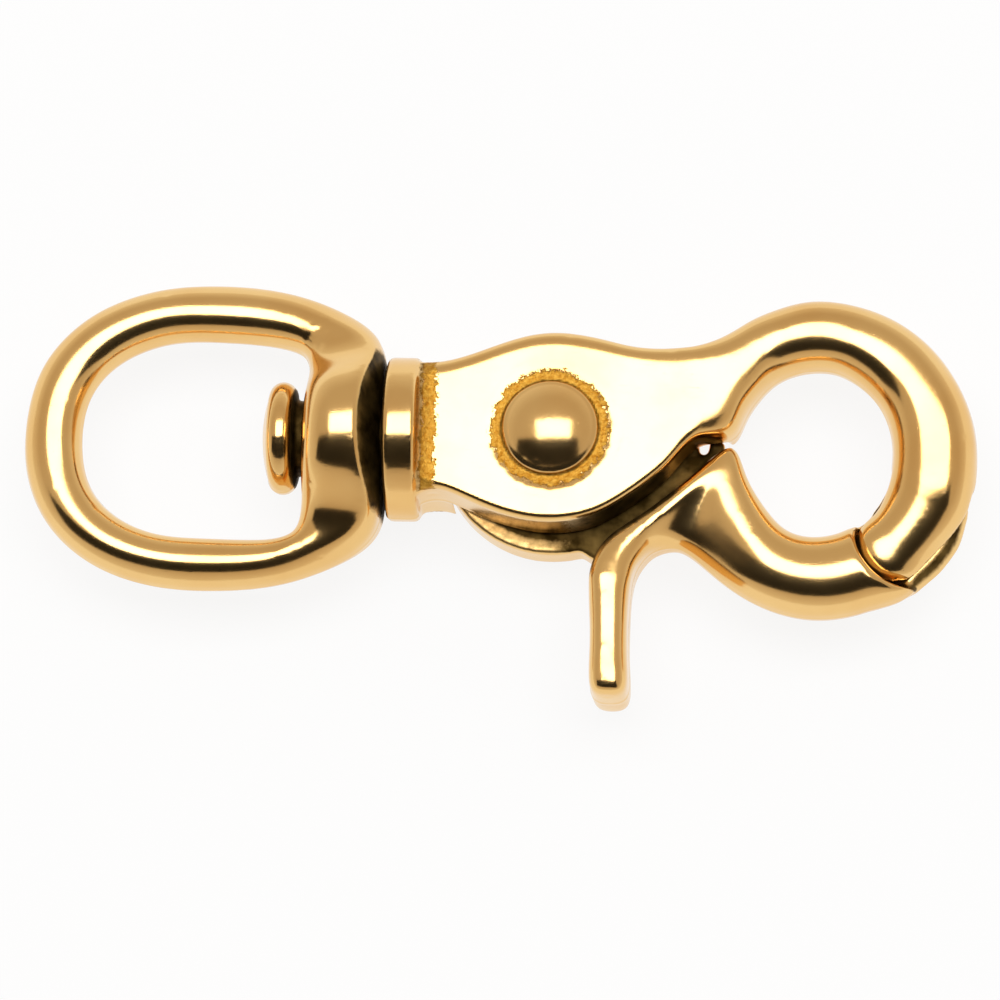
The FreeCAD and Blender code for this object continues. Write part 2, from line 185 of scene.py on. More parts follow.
def put_points(mesh, points):
    """Moves the corners to these places, kept inside the box of all the solids."""
    low, high = (np.array(corner) / MM for corner in CAD_BOX)
    mesh.vertices.foreach_set("co", (np.clip(points, low, high) * MM).ravel())
    mesh.update()


# %% tumbling
def fade(value, start, end):
    """0 up to start, 1 past end, and between them the S curve 3t^2 - 2t^3."""
    t = np.clip((value - start) / (end - start), 0, 1)
    return t * t * (3 - 2 * t)


def band(value, middle, half, edge):
    """1 within half of the middle, falling to 0 over edge on both sides."""
    return 1 - fade(np.abs(value - middle), half, half + edge)


def tumble(piece, passes, softness):
    """Rounds a skin: in each pass p goes to p + softness (mean of neighbours - p)."""
    mesh = piece.data
    points = points_of(mesh)
    share = softness(points)[:, None]
    pairs = np.empty(len(mesh.edges) * 2, np.int32)
    mesh.edges.foreach_get("vertices", pairs)
    first, second = pairs.reshape(-1, 2).T
    count = len(points)
    neighbours = np.bincount(pairs, minlength=count)[:, None]
    start = points.copy()
    for _ in range(passes):
        total = np.stack([
            np.bincount(first, points[second, axis], count)
            + np.bincount(second, points[first, axis], count)
            for axis in range(3)
        ], axis=1)
        points += share * (total / neighbours - points)
    put_points(mesh, points)
    print(piece.name, "moved at most", round(float(np.abs(points - start).max()), 2), "mm")


# %% [markdown]
# ## How soft each piece is
#
# The hook's ring and the eye are handled and rubbed most, so they are soft all
# over. The face plate was ground flat after tumbling, so its outline stays crisp,
# and so does the collar. Some places wear far more than the rest: the front of
# the nose, the hole beside the neck, the finger piece and the end of the jaw.
# One number for a whole piece would round its crisp edges too, so each place has
# its own function, which is 0 elsewhere.

# %% places on the ring
RING_C = np.array((RIVET_X + 25.2, RIVET_Y - 1.7))
RING_AXES = np.array((14.95, 15.4))


def ring_place(points):
    """Angle round the ring in degrees, and the distance from its middle, 1 at the rim."""
    away = (points[:, :2] - RING_C) / RING_AXES
    return np.degrees(np.arctan2(away[:, 1], away[:, 0])), np.hypot(away[:, 0], away[:, 1])


def far_half(points):
    """True on the half of the ring that lies away from the plate."""
    return points[:, 0] > RING_C[0]


NOSE_LAST = -75


def on_nose(points, start, end):
    """0 on the ring before the start angle, rising to 1 at the end angle and the nose."""
    turn, _ = ring_place(points)
    return fade(-turn, -start, -end) * (turn > NOSE_LAST) * far_half(points)


# %% softness of the hook
SOFT = 0.5
PLATE_SOFT = 0.1
NECK_X = (12, 18)
NOSE_SOFT_TURN = (10, -12)
FRONT_Z = (PARTING_Z + 0.1, PARTING_Z + 1.6)
NECK_TURN = (125, 40, 12)
NECK_END_X = (17, 18.5)
HOLE_WALL = (0.72, 0.85)


def body_softness(points):
    """Strong on the ring of the hook, slight on the plate and the collar."""
    return PLATE_SOFT + (SOFT - PLATE_SOFT) * fade(points[:, 0], *NECK_X)


def nose_softness(points):
    """On the front of the nose, which the trigger's snap rounds most of all."""
    return SOFT * on_nose(points, *NOSE_SOFT_TURN) * fade(points[:, 2], *FRONT_Z)


def hole_softness(points):
    """On the hole's side of the ring, beside the neck, where a strap rubs."""
    turn, distance = ring_place(points)
    beside = band(turn, *NECK_TURN) * fade(points[:, 0], *NECK_END_X)
    return SOFT * beside * (1 - fade(distance, *HOLE_WALL))


# %% softness of the trigger, and of the rest
HUB_SOFT = 0.12
JAW_REACH = (10, 13)
JAW_END_TURN = (-55, 8, 6)
FINGER_BELOW = (8.5, 10.5)
FINGER_X = (14, 16)


def gate_softness(points):
    """Strong on the jaw and the finger, slight on the flat hub."""
    return HUB_SOFT + (SOFT - HUB_SOFT) * fade(from_rivet(points), *JAW_REACH)


def seat_softness(points):
    """On the end of the jaw, where the seat's wall rises."""
    return SOFT * band(ring_place(points)[0], *JAW_END_TURN) * far_half(points)


def finger_softness(points):
    """On the finger piece, which the thumb rubs to a crown."""
    return SOFT * fade(-points[:, 1], *FINGER_BELOW) * (1 - fade(points[:, 0], *FINGER_X))


def even_softness(points):
    """The same all over."""
    return np.full(len(points), SOFT)


# %% make the four skins
body = even_skin("hook_body", "cast_hook", 0.2)
gate = even_skin("trigger_gate", "cast_trigger", 0.18)
eye = even_skin("swivel_eye", "cast_eye", 0.2)
rivet = even_skin("pivot_rivet", "peened_rivet", 0.12)
tumble(body, 26, body_softness)
tumble(body, 110, nose_softness)
tumble(body, 80, hole_softness)
tumble(gate, 26, gate_softness)
tumble(gate, 60, seat_softness)
tumble(gate, 90, finger_softness)
tumble(eye, 26, even_softness)
tumble(rivet, 6, even_softness)

# %% [markdown]
# ## The nose sits in its seat
#
# The nose of the hook is a little slimmer than the ring, so that the trigger's
# seat shows round it as a rim. Corners near the outside of the nose are drawn
# toward the middle of the ring; the pull grows with the distance from the middle
# and with the angle, and is nothing on the hole's side. The end of the nose, worn
# back by the tumbling, is stretched along the ring into its seat again, and the
# rim of the seat is crowned so that it falls away to the outside.

# %% slim the nose
NOSE_TURN = (-17, -36)
NOSE_PULL = 0.03
NOSE_STRETCH = 3.0
NOSE_LEAN = 4.0
STRETCH_TURN = (-22, -40)
OUTSIDE = (0.6, 1.0)


def slim_nose():
    """Distance d goes to d - pull S(d) S(angle), angle a to a - stretch S(angle)."""
    points = points_of(body.data)
    turn, distance = ring_place(points)
    pull = NOSE_PULL * fade(distance, *OUTSIDE) * on_nose(points, *NOSE_TURN)
    stretch = NOSE_STRETCH + NOSE_LEAN * fade(points[:, 2], PARTING_Z + 0.4, PARTING_Z + 1.8)
    turn = np.radians(turn - stretch * on_nose(points, *STRETCH_TURN))
    heading = np.stack([np.cos(turn), np.sin(turn)], axis=1)
    points[:, :2] = RING_C + heading * RING_AXES * (distance - pull)[:, None]
    put_points(body.data, points)
    print("nose drawn in by", round(float(pull.max() * RING_AXES[0]), 2), "mm")


slim_nose()

# %% crown the rim of the seat
RIM_TURN = (-32, 19, 6)
RIM_LOW_Z = (PARTING_Z - 2.6, PARTING_Z - 0.6)
RIM_HIGH_Z = (9.2, 10.4)
RIM_START = 0.9
RIM_FALL = 1.1
DRAW_TURN = (-12, -20)
DRAW_FROM, DRAW_TO = -30, 5
RIM_DRAW = 0.015
SWELL_TURN = (-45, 13, 14)
RIM_SWELL = 0.03


def crown_rim():
    """Height z goes to z - fall ((d - start) / (1 - start))^2 past the start of the rim.

    Where the rim begins it is drawn in, as the nose is, so that it comes out slowly.
    Below the end of the nose it swells outward a little.
    """
    points = points_of(gate.data)
    turn, distance = ring_place(points)
    z = points[:, 2]
    begins = (1 - on_nose(points, *DRAW_TURN)) * far_half(points)
    begins *= (turn > DRAW_FROM) * (turn < DRAW_TO)
    swells = band(turn, *SWELL_TURN) * far_half(points)
    moved = (RIM_SWELL * swells - RIM_DRAW * begins) * fade(distance, *OUTSIDE)
    # All that moves lies far from the middle, so 0.5 only keeps the division safe there.
    share = 1 + moved / np.maximum(distance, 0.5)
    points[:, :2] = RING_C + (points[:, :2] - RING_C) * share[:, None]
    rim = band(turn, *RIM_TURN) * far_half(points)
    rim *= fade(z, *RIM_LOW_Z) * (1 - fade(z, *RIM_HIGH_Z))
    past_start = np.maximum(distance - RIM_START, 0) / (1 - RIM_START)
    points[:, 2] -= RIM_FALL * rim * past_start ** 2
    put_points(gate.data, points)
    print("rim corners crowned:", int((rim > 0).sum()))


crown_rim()

# %% [markdown]
# ## Parting line, hand polish and dents
#
# The two halves of the mould leave a fine raised line round every side wall.
# Hand polishing leaves long shallow waves, and a working hook has small dents.
# All three are real shape and not only shading, so they move the corners along
# the normals: a narrow bell curve across the parting plane, a sum of sine waves,
# and one round bell for each dent.

# %% relief on the skins
PARTING_RISE = 0.05
PARTING_WIDTH = 0.22
WAVE_RISE = 0.008
WAVE_LENGTHS = (7.0, 11.0, 5.0)
DENT_DEPTH = 0.035
DENT_R = 0.45
rng = np.random.default_rng(11)


def parting_line(points, normals):
    """Rise exp(-(z / width)^2) from the parting plane, on upright walls alone."""
    upright = fade(1 - np.abs(normals[:, 2]), 0.6, 0.95)
    return PARTING_RISE * upright * np.exp(-((points[:, 2] - PARTING_Z) / PARTING_WIDTH) ** 2)


def polish_waves(points):
    """Sum of three sine waves that run in different directions through the metal."""
    directions = np.array([(0.8, 0.5, 0.33), (-0.45, 0.85, 0.3), (0.3, -0.6, 0.74)])
    phases = points @ directions.T * (2 * np.pi / np.array(WAVE_LENGTHS))
    return WAVE_RISE * np.sin(phases).sum(axis=1)


def dents(points, how_many):
    """One bell exp(-(r / R)^2) pressed in at each of some corners picked by chance."""
    centres = points[rng.integers(len(points), size=how_many)]
    depth = np.zeros(len(points))
    for centre, size in zip(centres, rng.uniform(0.5, 1.0, how_many)):
        r = np.linalg.norm(points - centre, axis=1)
        depth -= DENT_DEPTH * size * np.exp(-(r / (DENT_R * size)) ** 2)
    return depth


def relieve(piece, how_many_dents, parted=True):
    """Moves each corner along its normal by the parting line, the waves and the dents."""
    points, normals = points_of(piece.data), normals_of(piece.data)
    rise = polish_waves(points) + dents(points, how_many_dents)
    if parted:
        rise += parting_line(points, normals)
    put_points(piece.data, points + normals * rise[:, None])
    print(piece.name, "relief from", round(float(rise.min()), 3), "to", round(float(rise.max()), 3))


relieve(body, 26)
relieve(gate, 18)
relieve(eye, 30)
relieve(rivet, 14, parted=False)

# %% [markdown]
# ## Scuffs on the shoulder of the eye
#
# Chance dents lie anywhere, but one place is knocked again and again: the
# shoulder of the eye, where the other hardware on the strap swings against it.
# A cluster of small bells there breaks the end of the bright stripe. Its own
# random numbers leave those of the later steps as they are.

# %% scuffs
SCUFF_PLACE = (EYE_HIGH[0] - 6.3, SWIVEL_Y + 9.5)
SCUFF_SPREAD = 0.75
SCUFF_DEPTH = 0.03
SCUFF_R = 0.32


def scuff(piece, how_many):
    """Presses a cluster of small bells exp(-(r / R)^2) into the upward faces."""
    points, normals = points_of(piece.data), normals_of(piece.data)
    picked = np.random.default_rng(5)
    depth = np.zeros(len(points))
    for x, y in picked.normal(SCUFF_PLACE, SCUFF_SPREAD, (how_many, 2)):
        r = np.hypot(points[:, 0] - x, points[:, 1] - y)
        depth -= SCUFF_DEPTH * np.exp(-(r / SCUFF_R) ** 2)
    depth *= fade(normals[:, 2], 0.2, 0.6)
    put_points(piece.data, points + normals * depth[:, None])
    print(piece.name, "scuffed down to", round(float(depth.min()), 3), "mm")


scuff(eye, 16)

# %% [markdown]
# ## The torn edge round the rivet
#
# The face was ground before the rivet went in, and the wheel left a shallow
# as-cast ring whose border is torn. The solid has a clean round step there. It
# becomes a height that depends on the distance from the rivet's axis, with a
# border that wanders by a sum of sines of the angle, and each corner inside it
# is moved a little by chance, which gives the grain of the mould.

# %% torn ring and torn strip
RING_DEPTH = 0.15
TEAR = 0.03
TEAR_LOBES = np.array((4, 7, 11, 19, 34))
GRAIN_RISE = 0.02
STRIP_X = -6.35
STRIP_HALF = 0.75
STRIP_CLEAR = 4.0
FACE_BELOW = 0.6
UNDER_HEAD, PAST_RECESS = 0.6, 1.2
tear_phases = rng.uniform(0, 2 * np.pi, len(TEAR_LOBES))


def torn(turn):
    """Sum of sines with whole numbers of lobes in one turn of 2 pi."""
    return TEAR * np.sin(np.outer(turn, TEAR_LOBES) + tear_phases).sum(axis=1)


def ring_depth(points):
    """Millimetres inside the torn border of the ring, negative outside it."""
    turn = np.arctan2(points[:, 1] - RIVET_Y, points[:, 0] - RIVET_X)
    return RECESS_R + torn(turn) - from_rivet(points)


def strip_depth(points):
    """Millimetres inside the torn strip between the collar and the face."""
    return STRIP_HALF + torn(points[:, 1] * 0.4) - np.abs(points[:, 0] - STRIP_X)


def on_flats(points):
    """True well above and below the parting plane, where the strip is cast."""
    return np.abs(points[:, 2] - PARTING_Z) > STRIP_CLEAR


def tear_face():
    """Height z = face - depth S(distance inside the border), and grain inside it."""
    points, normals = points_of(body.data), normals_of(body.data)
    reach = from_rivet(points)
    inside = ring_depth(points)
    flat = (reach > HEAD_R - UNDER_HEAD) & (reach < RECESS_R + PAST_RECESS)
    flat &= points[:, 2] > FACE_Z - FACE_BELOW
    points[flat, 2] = FACE_Z - RING_DEPTH * fade(inside[flat], -0.5, 0.5)
    strip = (strip_depth(points) > 0) & on_flats(points)
    rough = (flat & (inside > 0.1)) | strip
    grain = rng.normal(0, GRAIN_RISE, len(points)) * rough
    put_points(body.data, points + normals * grain[:, None])
    print("rough corners:", int(rough.sum()))


tear_face()

# %% [markdown]
# ## Where the metal is rough, and where shade is painted
#
# Polishing wheels can't reach into corners. Round the rivet and beside the
# collar the metal keeps its deep gold, grainy, as-cast skin, and the gaps between
# the pieces get painted shade: a dark colour where shade falls. Painting this by
# hand would break when the model changes, so two values are worked out for every
# corner from its place and its normal. as_cast passes 1 where the rough skin
# begins and grows by 1 for each millimetre inward. The painted shade value goes
# from 0, none, to 1, darkest.

# %% measures that the masks use
DEEPEST = 3


def along_ring(points, normals):
    """How far normals point along the ring, in the direction of growing angle."""
    turn = np.radians(ring_place(points)[0])
    return normals[:, 1] * np.cos(turn) - normals[:, 0] * np.sin(turn)


def store(piece, name, values):
    """Keeps one number for each corner of the piece, for its material to read."""
    layer = piece.data.attributes.new(name, "FLOAT", "POINT")
    layer.data.foreach_set("value", values.astype(np.float32))
    print(piece.name, name, "covers", round(float((values > 0.5).mean() * 100), 1), "percent")


# %% masks of the hook
# Strengths and places of the painted shade that darkens the gaps of the hook.
GROOVE_SHADE = 0.7
GROOVE = (HEAD_R + 0.05, 0.05, 0.2)
SEAM_Z = (PARTING_Z - 0.4, 0.5, 0.4)
VALLEY_X = (4, 11)
VALLEY_END_X = (15.5, 17)
VALLEY_TOP_Z = (12.4, FACE_Z)
COLLAR_END = (COLLAR_X, 0.2, 0.3)
STEM_EDGE = (3.8, 4.2)
STEM_HEAD = 2.4
NOSE_TOP_Z = (10.0, 11.2)
COVE_SHADE = 0.5
COVE = (STRIP_X - STRIP_HALF, 0.1, 0.3)


def mark_body():
    """Rough ring round the rivet, rough strip by the collar, painted shade in every gap."""
    points, normals = points_of(body.data), normals_of(body.data)
    x, _, z = points.T
    nx, ny, nz = normals.T
    on_face = z > FACE_Z - FACE_BELOW
    ring = np.where(on_face, 1 + ring_depth(points), 0)
    strip = np.where(on_flats(points), 1 + strip_depth(points), 0)
    store(body, "as_cast", np.clip(np.maximum(ring, strip), 0, DEEPEST))

    # Painted shade round the rivet's head, and on the back of the plate, where the hub slides.
    groove = GROOVE_SHADE * band(from_rivet(points), *GROOVE) * on_face
    seam = fade(-nz, 0.3, 0.8) * band(z, *SEAM_Z)

    # Painted shade on the wall of the plate over the trigger, up to the ground edge.
    valley = fade(x, *VALLEY_X) * (1 - fade(x, *VALLEY_END_X)) * fade(-ny, 0.1, 0.6)
    valley *= 1 - fade(z, *VALLEY_TOP_Z)

    # Painted shade on the end of the collar and all along the stem, where the eye turns.
    collar = fade(-nx, 0.5, 0.9) * band(x, *COLLAR_END)
    stem = 1 - fade(from_swivel(points), *STEM_EDGE)
    stem = np.maximum(stem, fade(nx, 0.75, 0.95))
    stem *= (x < COLLAR_X) * (x > BODY_LOW[0] + STEM_HEAD)

    # Painted shade on the end of the nose, and in the cove between the collar and the strip.
    nose = fade(along_ring(points, -normals), 0.4, 0.8) * on_nose(points, *NOSE_TURN)
    nose *= 1 - fade(z, *NOSE_TOP_Z)
    cove = COVE_SHADE * band(x, *COVE) * on_flats(points)
    store(body, "painted_shade", np.max([groove, seam, valley, collar, stem, nose, cove], axis=0))


mark_body()

# %% masks of the trigger
# Places and strengths of the painted shade on the trigger.
HUB_FRONT = (HUB_FRONT_Z, 0.3, 0.3)
HUB_RIM = (9.2, 9.8)
HUB_RIM_X = (RIVET_X - 1, RIVET_X + 3)
HUB_RIM_LESS_SHADE = 0.5
ARM_X = (RIVET_X - 2, RIVET_X + 1)
ARM_END_X = (16.5, 18)
ARM_Y = (-9.5, -8.0)
ARM_REACH = (6, 10)
ARM_TOP_Z = (11.6, 13.2)
SEAT_TURN = (-32, 20, 4)
WALL_TURN = (28, 34)
WALL_TOP_Z = (11.5, 13.0)
LEDGE_SHADE = 0.3
LEDGE_PLACE = (0.8, 0.07, 0.05)
LEDGE_TOP_Z = (9.0, 9.6)


def mark_gate():
    """Rough ring at the back of the hub; painted shade on its front, in the valley and the seat."""
    points, normals = points_of(gate.data), normals_of(gate.data)
    x, y, z = points.T
    nx, ny, nz = normals.T
    reach = from_rivet(points)
    turn, distance = ring_place(points)
    at_back = z < GATE_LOW[2] + FACE_BELOW
    store(gate, "as_cast", np.clip(np.where(at_back, 1 + RECESS_R - reach, 0), 0, DEEPEST))

    # Painted shade on the front of the hub, which lies in the plate's shadow, half as strong along
    # the rim on the eye's side of the rivet.
    flat = fade(nz, 0.4, 0.8) * band(z, *HUB_FRONT)
    flat *= 1 - HUB_RIM_LESS_SHADE * fade(reach, *HUB_RIM) * (1 - fade(x, *HUB_RIM_X))

    # Painted shade on the wall of the arm that faces the plate.
    arm = fade(ny - 0.6 * nx, 0.15, 0.7) * (1 - fade(x, *ARM_END_X))
    arm *= fade(reach, *ARM_REACH) * fade(x, *ARM_X) * fade(y, *ARM_Y)
    arm *= 1 - fade(z, *ARM_TOP_Z)

    # Painted shade on the wall of the seat, and on the ledge that the nose lies on.
    seat = band(turn, *SEAT_TURN) * far_half(points)
    wall = seat * fade(along_ring(points, normals), 0.25, 0.6) * (1 - fade(z, *WALL_TOP_Z))
    wall *= fade(-turn, *WALL_TURN)
    ledge = seat * fade(nz, 0.6, 0.9) * (1 - fade(z, *LEDGE_TOP_Z))
    ledge *= LEDGE_SHADE * band(distance, *LEDGE_PLACE)
    store(gate, "painted_shade", np.max([flat, arm, wall, ledge], axis=0))


mark_gate()

# %% masks of the eye and the rivet
BARREL_X = (EYE_HIGH[0] - 9, EYE_HIGH[0] - 8)
COLLAR_SIDE_X = (EYE_HIGH[0] - 3.5, EYE_HIGH[0] - 1.5)
COLLAR_SIDE_Y = (7.0, 8.6)
BORE_EDGE = (3.8, 4.4)
HEAD_EDGE = (4.8, 6.0)
RIM_EDGE = (1.75, 2.1)
SHANK_EDGE = (3.0, 4.0)


def mark_eye():
    """Painted shade on the face toward the collar, in the bore and behind the peened head."""
    points, normals = points_of(eye.data), normals_of(eye.data)
    x, y, _ = points.T
    reach = from_swivel(points)
    barrel = fade(x, *BARREL_X)
    store(eye, "as_cast", np.zeros(len(points)))
    collar_side = fade(normals[:, 0], 0.55, 0.8) * fade(x, *COLLAR_SIDE_X)
    collar_side *= 1 - fade(np.abs(y - SWIVEL_Y), *COLLAR_SIDE_Y)
    bore = (1 - fade(reach, *BORE_EDGE)) * barrel
    head_side = fade(-normals[:, 0], 0.5, 0.9) * (1 - fade(reach, *HEAD_EDGE)) * barrel
    store(eye, "painted_shade", np.max([collar_side, bore, head_side], axis=0))


def mark_rivet():
    """Painted shade under the rim of both heads and on the hidden shank."""
    points = points_of(rivet.data)
    half_length = RIVET_HIGH[2] - RIVET_MIDDLE[2]
    inside = half_length - np.abs(points[:, 2] - RIVET_MIDDLE[2])
    store(rivet, "as_cast", np.zeros(len(points)))
    store(rivet, "painted_shade", fade(inside, *RIM_EDGE) * fade(from_rivet(points), *SHANK_EDGE))


mark_eye()
mark_rivet()

# %% [markdown]
# ## Short calls for shader nodes
#
# A material is a graph of small nodes. Short helpers keep the graphs readable:
# one adds a node with its settings and links in a single call, others stand for
# the nodes used most, and the last two make a node group with named sockets and
# place it, so that the same effect serves many materials.

# %% node helpers
def fill_inputs(tree, made, links):
    """Joins each input of a node to a socket, or gives it a plain value."""
    for socket, value in links.items():
        if isinstance(value, bpy.types.NodeSocket):
            tree.links.new(value, made.inputs[socket])
        else:
            made.inputs[socket].default_value = value


def add(tree, kind, links=None, **settings):
    """Adds a shader node. links gives a value, or a socket to join, for each input."""
    made = tree.nodes.new("ShaderNode" + kind)
    for field, value in settings.items():
        setattr(made, field, value)
    fill_inputs(tree, made, links or {})
    return made


def math_node(tree, operation, first, second):
    """Output of one sum, product or other operation on two values."""
    return add(tree, "Math", {0: first, 1: second}, operation=operation).outputs[0]


def mix_colour(tree, share, first, second):
    """Output colour that goes from first to second as share goes from 0 to 1."""
    mixed = add(tree, "Mix", {"Factor": share, 6: first, 7: second}, data_type="RGBA")
    return mixed.outputs[2]


def spread_value(tree, value, start, end, low, high):
    """Maps value from start..end to low..high, held at both ends."""
    links = {"Value": value, 1: start, 2: end, 3: low, 4: high}
    return add(tree, "MapRange", links, clamp=True).outputs[0]


def noise(tree, place, size_mm, detail=2.0, roughness=0.5):
    """Smooth noise from 0 to 1 whose lumps are about size_mm across."""
    links = {"Vector": place, "Scale": 1 / (size_mm * MM), "Detail": detail, "Roughness": roughness}
    return add(tree, "TexNoise", links).outputs["Fac"]


def start_group(name, inputs, outputs):
    """Empty node group; inputs and outputs are pairs of socket name and kind."""
    tree = bpy.data.node_groups.new(name, "ShaderNodeTree")
    for direction, sockets in (("INPUT", inputs), ("OUTPUT", outputs)):
        for socket, kind in sockets:
            tree.interface.new_socket(socket, in_out=direction, socket_type="NodeSocket" + kind)
    return tree, tree.nodes.new("NodeGroupInput").outputs, tree.nodes.new("NodeGroupOutput").inputs


def place_group(tree, group, links):
    """Outputs of a node group placed in a material with its own values."""
    made = tree.nodes.new("ShaderNodeGroup")
    made.node_tree = group
    fill_inputs(tree, made, links)
    return made.outputs


# %% [markdown]
# ## Tumbled polish
#
# Tumbled brass is bright but never a perfect mirror. The colour drifts a little
# from yellow to brown, the gloss comes and goes in patches, fine scratches run
# along the pieces, and tiny pits show where the casting was porous. Every one of
# these is noise at its own scale, on Object coordinates, so nothing stretches
# over the curves. Height comes out in millimetres for the Bump node.

# %% tumbled polish group
POLISHED_BRASS = (0.875, 0.58, 0.235, 1)
TANNED_BRASS = (0.82, 0.50, 0.18, 1)
BRIGHT_ROUGHNESS, DULL_ROUGHNESS = 0.13, 0.165
SCRATCH_HEIGHT = -0.002
PIT_HEIGHT = -0.006
PIT_SPACING = 1.3
SWELL_HEIGHT = 0.0035
PEEL_HEIGHT = 0.0007


def make_polish():
    """Node group: tint, roughness and height of tumbled brass."""
    tree, given, out = start_group(
        "tumbled polish",
        (("Gloss patches", "Float"), ("Scratches", "Float"), ("Pits", "Float")),
        (("Colour", "Color"), ("Roughness", "Float"), ("Height", "Float")),
    )
    place = add(tree, "TexCoord").outputs["Object"]
    drift = spread_value(tree, noise(tree, place, 9, 3), 0.4, 0.72, 0, 1)
    tree.links.new(mix_colour(tree, drift, POLISHED_BRASS, TANNED_BRASS), out["Colour"])
    patches = noise(tree, place, 2.5, 4, 0.6)
    patches = spread_value(tree, patches, 0.3, 0.75, BRIGHT_ROUGHNESS, DULL_ROUGHNESS)
    fine = math_node(tree, "MULTIPLY", noise(tree, place, 0.35, 3, 0.7), given["Gloss patches"])
    tree.links.new(math_node(tree, "ADD", patches, fine), out["Roughness"])
    along = {"Vector": place, "Rotation": (0, 0, 0.25), "Scale": (0.08, 1, 1)}
    lines = noise(tree, add(tree, "Mapping", along).outputs[0], 0.16, 2, 0.6)
    scratch = spread_value(tree, lines, 0.62, 0.8, 0, SCRATCH_HEIGHT)
    cells = add(tree, "TexVoronoi", {"Vector": place, "Scale": 1 / (PIT_SPACING * MM)})
    pit = spread_value(tree, cells.outputs["Distance"], 0.0, 0.07, PIT_HEIGHT, 0)
    swell = math_node(tree, "MULTIPLY", noise(tree, place, 1.6, 2), SWELL_HEIGHT)
    peel = math_node(tree, "MULTIPLY", noise(tree, place, 0.3, 2), PEEL_HEIGHT)
    height = math_node(tree, "ADD", swell, peel)
    for mark, share in ((scratch, "Scratches"), (pit, "Pits")):
        marks = math_node(tree, "MULTIPLY", mark, given[share])
        height = math_node(tree, "ADD", height, marks)
    tree.links.new(height, out["Height"])
    print(tree.name, "has", len(tree.nodes), "nodes")
    return tree


POLISH = make_polish()

# %% [markdown]
# ## As-cast skin
#
# Sand or plaster leaves brass grainy and a deeper gold. Its border is ragged,
# because the polishing wheel skips over low spots. The stored value says how
# deep inside the rough zone a corner lies; noise is added before it is compared
# with 1, and that turns a clean circle into a torn edge.

# %% as-cast group
DEEP_GOLD = (0.46, 0.19, 0.015, 1)
BRIGHT_GOLD = (0.74, 0.44, 0.075, 1)
BORDER_WANDER = 0.4
GRAIN_HEIGHT = 0.12


def make_as_cast():
    """Node group: mask, colour and height of the grainy gold skin."""
    tree, given, out = start_group(
        "as-cast skin",
        (("Depth", "Float"),),
        (("Mask", "Float"), ("Colour", "Color"), ("Height", "Float")),
    )
    place = add(tree, "TexCoord").outputs["Object"]
    ragged = noise(tree, place, 0.6, 4, 0.7)
    ragged = spread_value(tree, ragged, 0.3, 0.7, -BORDER_WANDER, BORDER_WANDER)
    depth = math_node(tree, "ADD", given["Depth"], ragged)
    mask = spread_value(tree, depth, 1.0, 1.12, 0, 1)
    tree.links.new(mask, out["Mask"])
    grain = noise(tree, place, 0.45, 4, 0.75)
    tone = spread_value(tree, grain, 0.35, 0.68, 0, 1)
    tree.links.new(mix_colour(tree, tone, DEEP_GOLD, BRIGHT_GOLD), out["Colour"])
    rough = math_node(tree, "MULTIPLY", grain, GRAIN_HEIGHT)
    tree.links.new(math_node(tree, "MULTIPLY", rough, mask), out["Height"])
    print(tree.name, "has", len(tree.nodes), "nodes")
    return tree


AS_CAST = make_as_cast()

# %% [markdown]
# ## Painted shade in the gaps
#
# The gaps are darkened by painted shade, a colour that stands in for the shade
# that falls there. It is dull and nearly black, and its edge thins out in specks,
# through which the brass shows. It stays a metal here: a rough dark metal has no
# white sheen.

# %% painted shade group
# Colours of the painted shade, the darkest and the palest.
DEEP_SHADE_COLOUR = (0.04, 0.023, 0.005, 1)
PALE_SHADE_COLOUR = (0.19, 0.12, 0.035, 1)


def make_painted_shade():
    """Node group: mask and colour of the painted shade in the gaps."""
    tree, given, out = start_group(
        "gap grime",
        (("Amount", "Float"),),
        (("Mask", "Float"), ("Colour", "Color")),
    )
    place = add(tree, "TexCoord").outputs["Object"]
    specks = spread_value(tree, noise(tree, place, 0.6, 4, 0.65), 0.3, 0.7, -0.14, 0.12)
    amount = math_node(tree, "ADD", given["Amount"], specks)
    tree.links.new(spread_value(tree, amount, 0.2, 0.85, 0, 1), out["Mask"])
    deeper = spread_value(tree, noise(tree, place, 1.8, 3), 0.35, 0.7, 1, 0)
    tree.links.new(mix_colour(tree, deeper, PALE_SHADE_COLOUR, DEEP_SHADE_COLOUR), out["Colour"])
    print(tree.name, "has", len(tree.nodes), "nodes")
    return tree


PAINTED_SHADE = make_painted_shade()


# %% the brass material
# Extra roughness on the as-cast skin and under the painted shade.
AS_CAST_ROUGHER = 0.28
SHADE_ROUGHER = 0.4


